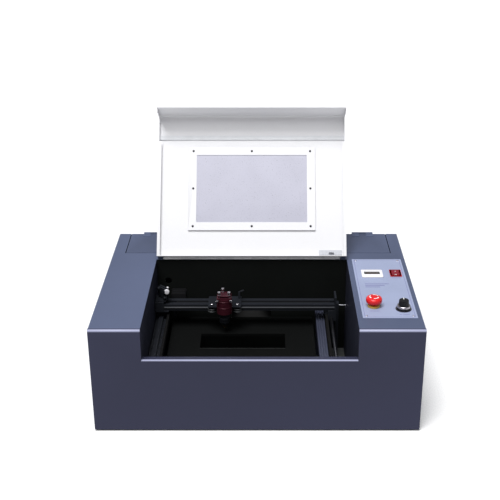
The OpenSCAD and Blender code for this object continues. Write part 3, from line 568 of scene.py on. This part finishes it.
def fluted_screw(bm, at, axis, shank, top, r):
    """A thumb screw: a thin shank up to a fluted head with a chamfered rim."""
    turned(bm, [(1.5, 0), (1.5, shank), (r - 0.6, shank), (r, shank + 0.6, 18, 0.5),
                (r, top - 0.8, 18, 0.5), (r - 0.8, top), (1.2, top), (1.0, top - 0.5)],
           at, axis, 72)


def head_top():
    """The two plates on the laser head and the screws that tilt its mirror."""
    plates = bmesh.new()
    block(plates, (-19, -16, 0), (19, 18, 4), 3, HEAD)
    block(plates, (-17, -14, 7), (17, 16, 10), 4, HEAD)
    new_piece("head_plates", plates, "carriage", "dark_red", ["mirror_mount_3"])
    screws = bmesh.new()
    for x, y in ((-13, -10), (13, -10), (-4, 12)):
        coil = [(2.1, 4.0)]
        for i in range(9):
            coil.append((2.9 if i % 2 == 0 else 2.1, 4.2 + i * 0.34))
        turned(screws, coil, off(HEAD, x, y, 0), "Z", 24)
        fluted_screw(screws, off(HEAD, x, y, 9.6), "Z", 6.0, 11.4, 4.5)
        turned(screws, [(3.4, 0, 6, None), (3.4, 1.6, 6, None), (2.9, 1.9, 6, None)],
               off(HEAD, x, y, 10), "Z", 36)
    for s in (-1, 1):
        fluted_screw(screws, off(HEAD, s * 18, -14.4, -2), "-Y", 2.0, 7.0, 3.5)
    turned(screws, [(7.4, -6), (7.8, -5.4), (7.8, 0)], HEAD, "Z", 40)
    new_piece("head_screws", screws, "carriage", "chrome", ["mirror_mount_3"])


def head_bands():
    """Raised bands with small screws round the head, and the port the beam enters by."""
    bm = bmesh.new()
    for z in (-6.5, -24.5):
        turned(bm, [(20.0, z - 1.5), (20.45, z - 1.1), (20.45, z + 1.1), (20.0, z + 1.5)],
               HEAD, "Z", 64, bore=19.6)
    for i in range(3):
        a = math.radians(210 + 60 * i)
        spin = Matrix.Rotation(a, 3, "Z") @ Matrix.Rotation(math.pi / 2, 3, "Y")
        at = off(HEAD, 19.9 * math.cos(a), 19.9 * math.sin(a), -15.5)
        turned(bm, [(1.9, 0), (1.9, 0.5), (1.1, 0.6, 6, None), (1.1, 0.1, 6, None)],
               at, spin, 24)
    new_piece("head_bands", bm, "carriage", "dark_red")
    port = bmesh.new()
    turned(port, [(8.0, -0.6), (8.0, 1.1), (7.4, 1.7)], off(HEAD, -18.9, 0, -11), "-X", 40,
           bore=5.9)
    new_piece("beam_port", port, "carriage", "black_plastic")


def lens_tube_parts():
    """The nozzle at the tube's lower end and the knurled grip above it."""
    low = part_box("lens_tube")[0].z
    at = (HEAD.x, HEAD.y, low)
    tip = bmesh.new()
    turned(tip, [(4.3, -0.2), (4.9, 0.3), (4.9, 2.2), (7.6, 6.3), (7.6, 7.4), (8.4, 7.6)],
           at, "Z", 40, bore=2.6)
    new_piece("nozzle_tip", tip, "focus_tube", "brass")
    grip = bmesh.new()
    turned(grip, [(14.0, 19.5), (14.5, 20.1, 40, 0.35), (14.5, 28.2, 40, 0.35), (14.0, 28.8)],
           at, "Z", 160, bore=13.6)
    new_piece("focus_grip", grip, "focus_tube", "black_plastic")


ROLLERS = (("roller_front_left", "left_roller"), ("roller_front_right", "right_roller"),
           ("roller_rear", "rear_roller"))


def roller_parts():
    """A bearing shield on each roller and a nut on each axle."""
    nuts = bmesh.new()
    for node, body in ROLLERS:
        mid = middle(node)
        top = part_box(node)[1].z
        turned(nuts, [(3.9, 0, 6, None), (4.3, 0.4, 6, None), (4.3, 2.8, 6, None),
                      (3.7, 3.2, 6, None), (2.3, 3.2), (2.0, 4.0)],
               (mid.x, mid.y, top + 9 * MM), "Z", 36)
        seal = bmesh.new()
        turned(seal, [(7.6, -0.4), (7.6, 0.12), (7.2, 0.18)], (mid.x, mid.y, top), "Z", 40,
               bore=3.9)
        new_piece(node + "_bearing", seal, body, "steel")
    new_piece("axle_nuts", nuts, "carriage", "chrome")


# ---- belts and pulleys ----

BELT_THICK = 1.2
BELT_WIDE = 6.0
X_RADIUS = 6.0
Y_RADIUS = 8.0


def toothed_belt(bm, a, b, radius, place):
    """A closed timing belt round two equal pulleys, in millimetres along its own plane.
    place turns (along, across, up) into a point of the machine."""
    run = b - a
    length = 2 * run + 2 * math.pi * radius
    stations = 4 * round(length / 2.0)
    rings = []
    for i in range(stations):
        s = length * i / stations
        if s < run:
            c, n = (a + s, radius), (0, 1)
        elif s < run + math.pi * radius:
            t = (s - run) / radius
            n = (math.sin(t), math.cos(t))
            c = (b + radius * n[0], radius * n[1])
        elif s < 2 * run + math.pi * radius:
            c, n = (b - (s - run - math.pi * radius), -radius), (0, -1)
        else:
            t = (s - 2 * run - math.pi * radius) / radius
            n = (-math.sin(t), -math.cos(t))
            c = (a + radius * n[0], radius * n[1])
        inner = 0.0 if i % 4 < 2 else 0.5
        ring = []
        for lift, side in ((inner, -1), (BELT_THICK, -1), (BELT_THICK, 1), (inner, 1)):
            u = c[0] + n[0] * lift
            v = c[1] + n[1] * lift
            ring.append(bm.verts.new(place(u, side * BELT_WIDE / 2, v)))
        rings.append(ring)
    skin(bm, rings, closed=True)


def fluted_pulley(bm, at, axis, radius, bore):
    """A timing pulley between two flanges, with one tooth per 2 mm of its girth."""
    teeth = round(math.pi * radius)
    half = BELT_WIDE / 2
    turned(bm, [(radius + 0.5, -half - 1.3), (radius + 0.9, -half - 0.9),
                (radius + 0.9, -half - 0.4), (radius - 0.3, -half - 0.3),
                (radius - 0.3, -half - 0.2, teeth, 0.7), (radius - 0.3, half + 0.2, teeth, 0.7),
                (radius - 0.3, half + 0.3), (radius + 0.9, half + 0.4),
                (radius + 0.9, half + 0.9), (radius + 0.5, half + 1.3)],
           at, axis, teeth * 6, bore=bore)


def belts_and_pulleys():
    """Toothed belts, fluted pulleys and idlers, and the cross shaft."""
    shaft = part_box("y_drive_shaft")
    axle = middle("y_drive_shaft")
    front = middle("y_idlers")
    xs = [(low.x + high.x) / 2 for low, high in islands("y_idlers")]
    bm = bmesh.new()
    for x in xs:
        toothed_belt(bm, front.y / MM, axle.y / MM, Y_RADIUS,
                     lambda u, w, v, x=x: (x + w * MM, u * MM, axle.z + v * MM))
    new_piece("toothed_y_belts", bm, "cabinet", "rubber", ["y_belts"])
    bm = bmesh.new()
    for x in xs:
        fluted_pulley(bm, (x, front.y, front.z), "X", Y_RADIUS, 2.55)
    new_piece("fluted_idlers", bm, "front_idlers", "steel", ["y_idlers"])
    bm = bmesh.new()
    long = (shaft[1].x - shaft[0].x) / MM
    turned(bm, [(2.6, 0), (3.0, 0.4), (3.0, long - 0.4), (2.6, long)],
           (shaft[0].x, axle.y, axle.z), "X", 32)
    for x in xs:
        fluted_pulley(bm, (x, axle.y, axle.z), "X", Y_RADIUS, 2.9)
    new_piece("fluted_shaft", bm, "cross_shaft", "steel", ["y_drive_shaft"])
    loop_low, loop_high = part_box("x_belt")
    reach = (X_RADIUS + BELT_THICK) * MM
    mid = (loop_low + loop_high) / 2
    bm = bmesh.new()
    toothed_belt(bm, (loop_low.x + reach) / MM, (loop_high.x - reach) / MM, X_RADIUS,
                 lambda u, w, v: (u * MM, mid.y + w * MM, mid.z + v * MM))
    new_piece("toothed_x_belt", bm, "gantry", "rubber", ["x_belt"])
    bm = bmesh.new()
    fluted_pulley(bm, (loop_high.x - reach, mid.y, mid.z), "Y", X_RADIUS, 2.55)
    new_piece("fluted_x_idler", bm, "belt_idler", "steel", ["x_idler"])
    bm = bmesh.new()
    fluted_pulley(bm, (loop_low.x + reach, mid.y, mid.z), "Y", X_RADIUS, 2.4)
    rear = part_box("x_pulley")[1].y
    turned(bm, [(2.5, 0), (2.5, (rear - mid.y) / MM)], (loop_low.x + reach, mid.y, mid.z), "Y",
           32)
    new_piece("fluted_x_pulley", bm, "belt_pulley", "steel", ["x_pulley"])


# ---- motors ----

CROSS_MOTOR_LONG = 34
SCREW_ROOM = 0.8


def motor(name, node, body, at, axis, long, boss):
    """A stepper motor: two end caps, a stack of laminations and four long screws."""
    bm = bmesh.new()
    block(bm, (-21, -21, 0), (21, 21, 8), 5, at, axis)
    block(bm, (-21, -21, long - 9), (21, 21, long), 5, at, axis)
    block(bm, (-20.4, -20.4, 7.5), (20.4, 20.4, long - 8.5), 6, at, axis, soft=0.2)
    for x in (-15.5, 15.5):
        for y in (-15.5, 15.5):
            turned(bm, [(2.6, 0), (2.6, 0.5), (2.2, 0.8), (1.3, 0.8, 6, None),
                        (1.3, 0.2, 6, None)], oriented((x * MM, y * MM, long * MM), at, axis),
                   axis, 24)
    if boss:
        turned(bm, [(14.6, -boss), (15, -boss + 0.4), (15, 0.5)], at, axis, 48, bore=3.4)
    new_piece(name, bm, body, "motor_black", [node])


def motors():
    """The gantry's motor and the one behind the right wall, whose boss faces left.
    Both end a little short of the CAD node, to leave room for the screw heads."""
    low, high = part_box("x_motor")
    motor("gantry_motor", "x_motor", "gantry",
          ((low.x + high.x) / 2, low.y, (low.z + high.z) / 2), "Y",
          (high.y - low.y) / MM - SCREW_ROOM, 0)
    low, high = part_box("y_motor")
    face = high.x - CROSS_MOTOR_LONG * MM
    motor("cross_motor", "y_motor", "cabinet",
          (face, (low.y + high.y) / 2, (low.z + high.z) / 2), "X",
          CROSS_MOTOR_LONG - SCREW_ROOM, (face - low.x) / MM)


# ---- control panel ----

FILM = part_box("control_panel")
TOP_Z = FILM[1].z


def print_line(bm, x0, y0, x1, y1, origin):
    """A thin printed mark on the overlay, in millimetres about a point."""
    block(bm, (x0, y0, -0.3), (x1, y1, 0.08), 0.2, origin, soft=0.03)


def panel_print():
    """Printed rules and dial ticks on the overlay, and its corner screws."""
    w = (FILM[1].x - FILM[0].x) / MM
    d = (FILM[1].y - FILM[0].y) / MM
    at = (FILM[0].x, FILM[0].y, TOP_Z)
    bm = bmesh.new()
    for x0, y0, x1, y1 in ((5, 5, w - 5, 6), (5, d - 6, w - 5, d - 5), (5, 6, 6, d - 6),
                           (w - 6, 6, w - 5, d - 6)):
        print_line(bm, x0, y0, x1, y1, at)
    for i, (x0, x1) in enumerate(((22, 84), (22, 72), (22, 60))):
        print_line(bm, x0, 186 - i * 9, x1, 189 - i * 9, at)
    knob = middle("power_knob")
    for i in range(11):
        a = math.radians(240 - 30 * i)
        spin = Matrix.Rotation(a, 3, "Z")
        block(bm, (21.6, -0.35, -0.3), (24.6 if i % 5 else 25.6, 0.35, 0.08), 0.1,
              (knob.x, knob.y, TOP_Z), spin, soft=0.03)
    rock = middle("rocker_bezel")
    stop = middle("estop_base")
    for mid, y in ((rock, -27), (stop, -27), (knob, -31)):
        print_line(bm, -12, y, 12, y + 2, (mid.x, mid.y, TOP_Z))
    new_piece("panel_print", bm, "cabinet", "panel_ink")
    screws = bmesh.new()
    for x in (10, w - 10):
        for y in (10, d - 10):
            turned(screws, [(2.6, -0.4), (2.6, 0.3), (2.1, 0.8), (1.2, 0.95, 6, None),
                            (1.2, 0.3, 6, None)], off(at, x, y, 0), "Z", 24)
    new_piece("panel_screws", screws, "cabinet", "chrome")


def display_parts():
    """The display's case with three buttons, its window and three zeros."""
    low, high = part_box("power_display")
    mid = (low + high) / 2
    at = (mid.x, mid.y, TOP_Z)
    bm = bmesh.new()
    block(bm, (-28, -22.5, 0), (28, 22.5, 3.5), 4, at, soft=0.8,
          pocket=(-20.5, -5.5, 20.5, 10.5, 1.6))
    block(bm, (-23.5, -17.5, (low.z - TOP_Z) / MM), (23.5, 17.5, 0.1), 1, at)
    for x in (-12, 0, 12):
        turned(bm, [(2.9, 3.4), (2.9, 3.8), (2.5, 4.1)], off(at, x, -13.5, 0), "Z", 28)
    new_piece("display_case", bm, "cabinet", "white_plastic", ["power_display"])
    glass = bmesh.new()
    block(glass, (-20.4, -5.4, 1.8), (20.4, 10.4, 2.6), 0.8, at, soft=0.2)
    new_piece("display_window", glass, "cabinet", "display_glass")
    digit = bmesh.new()
    for cx in (-10.5, 0, 10.5):
        for x0, y0, x1, y1 in ((-2, 7, 2, 7.8), (-2, -2.4, 2, -1.6), (-3, 3, -2.2, 6.8),
                               (2.2, 3, 3, 6.8), (-3, -1.4, -2.2, 2.4), (2.2, -1.4, 3, 2.4)):
            block(digit, (cx + x0, y0, 2.5), (cx + x1, y1, 2.64), 0.2, at, soft=0.04)
    new_piece("display_digits", digit, "cabinet", "display_digit")


def rocker_parts():
    """The switch's surround, its curved cap and the bar and ring on it."""
    low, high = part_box("rocker_bezel")
    mid = (low + high) / 2
    at = (mid.x, mid.y, TOP_Z)
    bm = bmesh.new()
    block(bm, (-15, -19, 0), (15, 19, 3), 2.5, at, soft=0.8, pocket=(-10, -14, 10, 14, 2.9))
    new_piece("rocker_surround", bm, "cabinet", "rocker_red")
    tilt = Matrix.Rotation(math.radians(8), 3, "X")
    pivot = (mid.x, mid.y, TOP_Z - 2 * MM)
    bm = bmesh.new()
    rings = []
    for x, inset in ((-9.5, 0.5), (-9.0, 0.0), (9.0, 0.0), (9.5, 0.5)):
        pts = []
        rows = [(-12.4 + inset, -0.5), (-13 + inset, 5.2 - inset)]
        rows += [(y, 3.6 + 1.6 * (y / 13) ** 2 - inset) for y in (-10, -7.5, -5, -2.5, 0, 2.5,
                                                                 5, 7.5, 10)]
        rows += [(13 - inset, 5.2 - inset), (12.4 - inset, -0.5), (3, -3.2 + inset),
                 (-3, -3.2 + inset)]
        for y, z in rows:
            p = tilt @ Vector((x * MM, y * MM, z * MM))
            pts.append(bm.verts.new(tuple(a + b for a, b in zip(p, pivot))))
        rings.append(pts)
    skin(bm, rings)
    new_piece("rocker_cap", bm, "switch_rocker", "rocker_red", ["rocker"])
    marks = bmesh.new()
    block(marks, (-0.6, 5.5, 4.0), (0.6, 10.0, 4.62), 0.3, pivot, tilt, soft=0.05)
    turned(marks, [(2.4, 4.0), (2.4, 4.5)], tuple(a + b for a, b in zip(
        tilt @ Vector((0, -7.5 * MM, 0)), pivot)), tilt, 32, bore=1.6)
    new_piece("rocker_marks", marks, "switch_rocker", "mark_white")


def stop_parts():
    """The mushroom button with three arrows that run round its top."""
    mid = middle("estop_button")
    at = (mid.x, mid.y, TOP_Z)
    bm = bmesh.new()
    turned(bm, [(6.6, -22), (7, -21.6), (7, 12.2), (17.6, 12.0), (19.2, 12.6), (20, 14.2),
                (20, 19.2), (19.6, 21.2), (18.5, 23.2), (16.4, 24.8), (13, 26.0), (8.5, 26.7),
                (3.5, 27.0)], at, "Z", 72)
    new_piece("stop_mushroom", bm, "stop_button", "red_plastic", ["estop_button"])
    arcs = bmesh.new()
    for start in (20, 140, 260):
        rings = []
        for i in range(15):
            a = math.radians(start + 6 * i)
            wide = 1.1 if i < 11 else 2.6 * (15 - i) / 4
            ring = []
            for r, dz in ((10.6 - wide, -0.5), (10.6 - wide, 0.12), (10.6 + wide, 0.12),
                          (10.6 + wide, -0.5)):
                z = 27.0 - 0.9 * ((r / 12.4) ** 2) + dz
                ring.append(arcs.verts.new(off(at, r * math.cos(a), r * math.sin(a), z)))
            rings.append(ring)
        skin(arcs, rings)
    new_piece("stop_arrows", arcs, "stop_button", "mark_white")


def knob_parts():
    """The fluted knob, its bright collar and its pointer line."""
    mid = middle("power_knob")
    at = (mid.x, mid.y, TOP_Z)
    bm = bmesh.new()
    turned(bm, [(3, -14), (3, 1.4), (17.4, 1.4), (18, 2.0), (18, 5.2), (17.2, 6.4), (13, 7.0),
                (12.9, 10.6), (12.5, 12.2, 24, 0.8), (12.1, 23.6, 24, 0.8), (11.2, 24.8),
                (9.0, 25.0), (2.0, 24.7)], at, "Z", 144)
    new_piece("knob_body", bm, "dial_knob", "black_plastic", ["power_knob"])
    collar = bmesh.new()
    turned(collar, [(16.4, 6.0), (17.0, 6.6), (16.2, 10.6), (15.4, 11.2)], at, "Z", 72,
           bore=12.6)
    new_piece("knob_collar", collar, "dial_knob", "chrome")
    line = bmesh.new()
    block(line, (-1.1, 3, 24.6), (1.1, 11.3, 25.3), 0.4, at, soft=0.1)
    new_piece("knob_pointer", line, "dial_knob", "mark_white")


# ---- small fittings ----

def beam_cap():
    """The pale cap on the mirror at the gantry's left end."""
    low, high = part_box("mirror_mount_2")
    bm = bmesh.new()
    turned(bm, [(3.2, -21), (3.2, 2.0), (6.4, 2.2), (7.0, 2.8), (7.0, 5.0), (6.2, 6.0),
                (3.0, 6.4)], (low.x + 31 * MM, low.y + 8 * MM, low.z + 29 * MM), "-Y", 40)
    new_piece("beam_cap", bm, "gantry", "white_plastic")


def rail_screws():
    """Two rows of low screws on the shoulders of the left rail."""
    low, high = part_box("y_rail_left")
    bm = bmesh.new()
    for i in range(7):
        y = low.y + 0.03 + i * (high.y - low.y - 0.06) / 6
        for x in (low.x + 5 * MM, high.x - 4.5 * MM):
            turned(bm, [(2.6, -0.5), (2.6, 0.9), (2.3, 1.2), (1.4, 1.2, 6, None),
                        (1.4, 0.3, 6, None)], (x, y, high.z - 8 * MM), "Z", 24)
    new_piece("rail_screws", bm, "cabinet", "dark_steel")


def socket_screws():
    """The two screws that hold the power inlet."""
    low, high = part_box("rear_sockets")
    bm = bmesh.new()
    for x in (high.x - 4.5 * MM, high.x - 37.5 * MM):
        turned(bm, [(2.4, 0), (2.4, 0.3), (1.8, 0.9), (0.9, 1.0, 6, None), (0.9, 0.4, 6, None)],
               (x, high.y - 0.2 * MM, high.z - 14 * MM), "Y", 24)
    new_piece("socket_screws", bm, "cabinet", "chrome")


cabinet_screw_heads()
window_screw_heads()
head_top()
head_bands()
lens_tube_parts()
roller_parts()
belts_and_pulleys()
motors()
panel_print()
display_parts()
rocker_parts()
stop_parts()
knob_parts()
beam_cap()
rail_screws()
socket_screws()
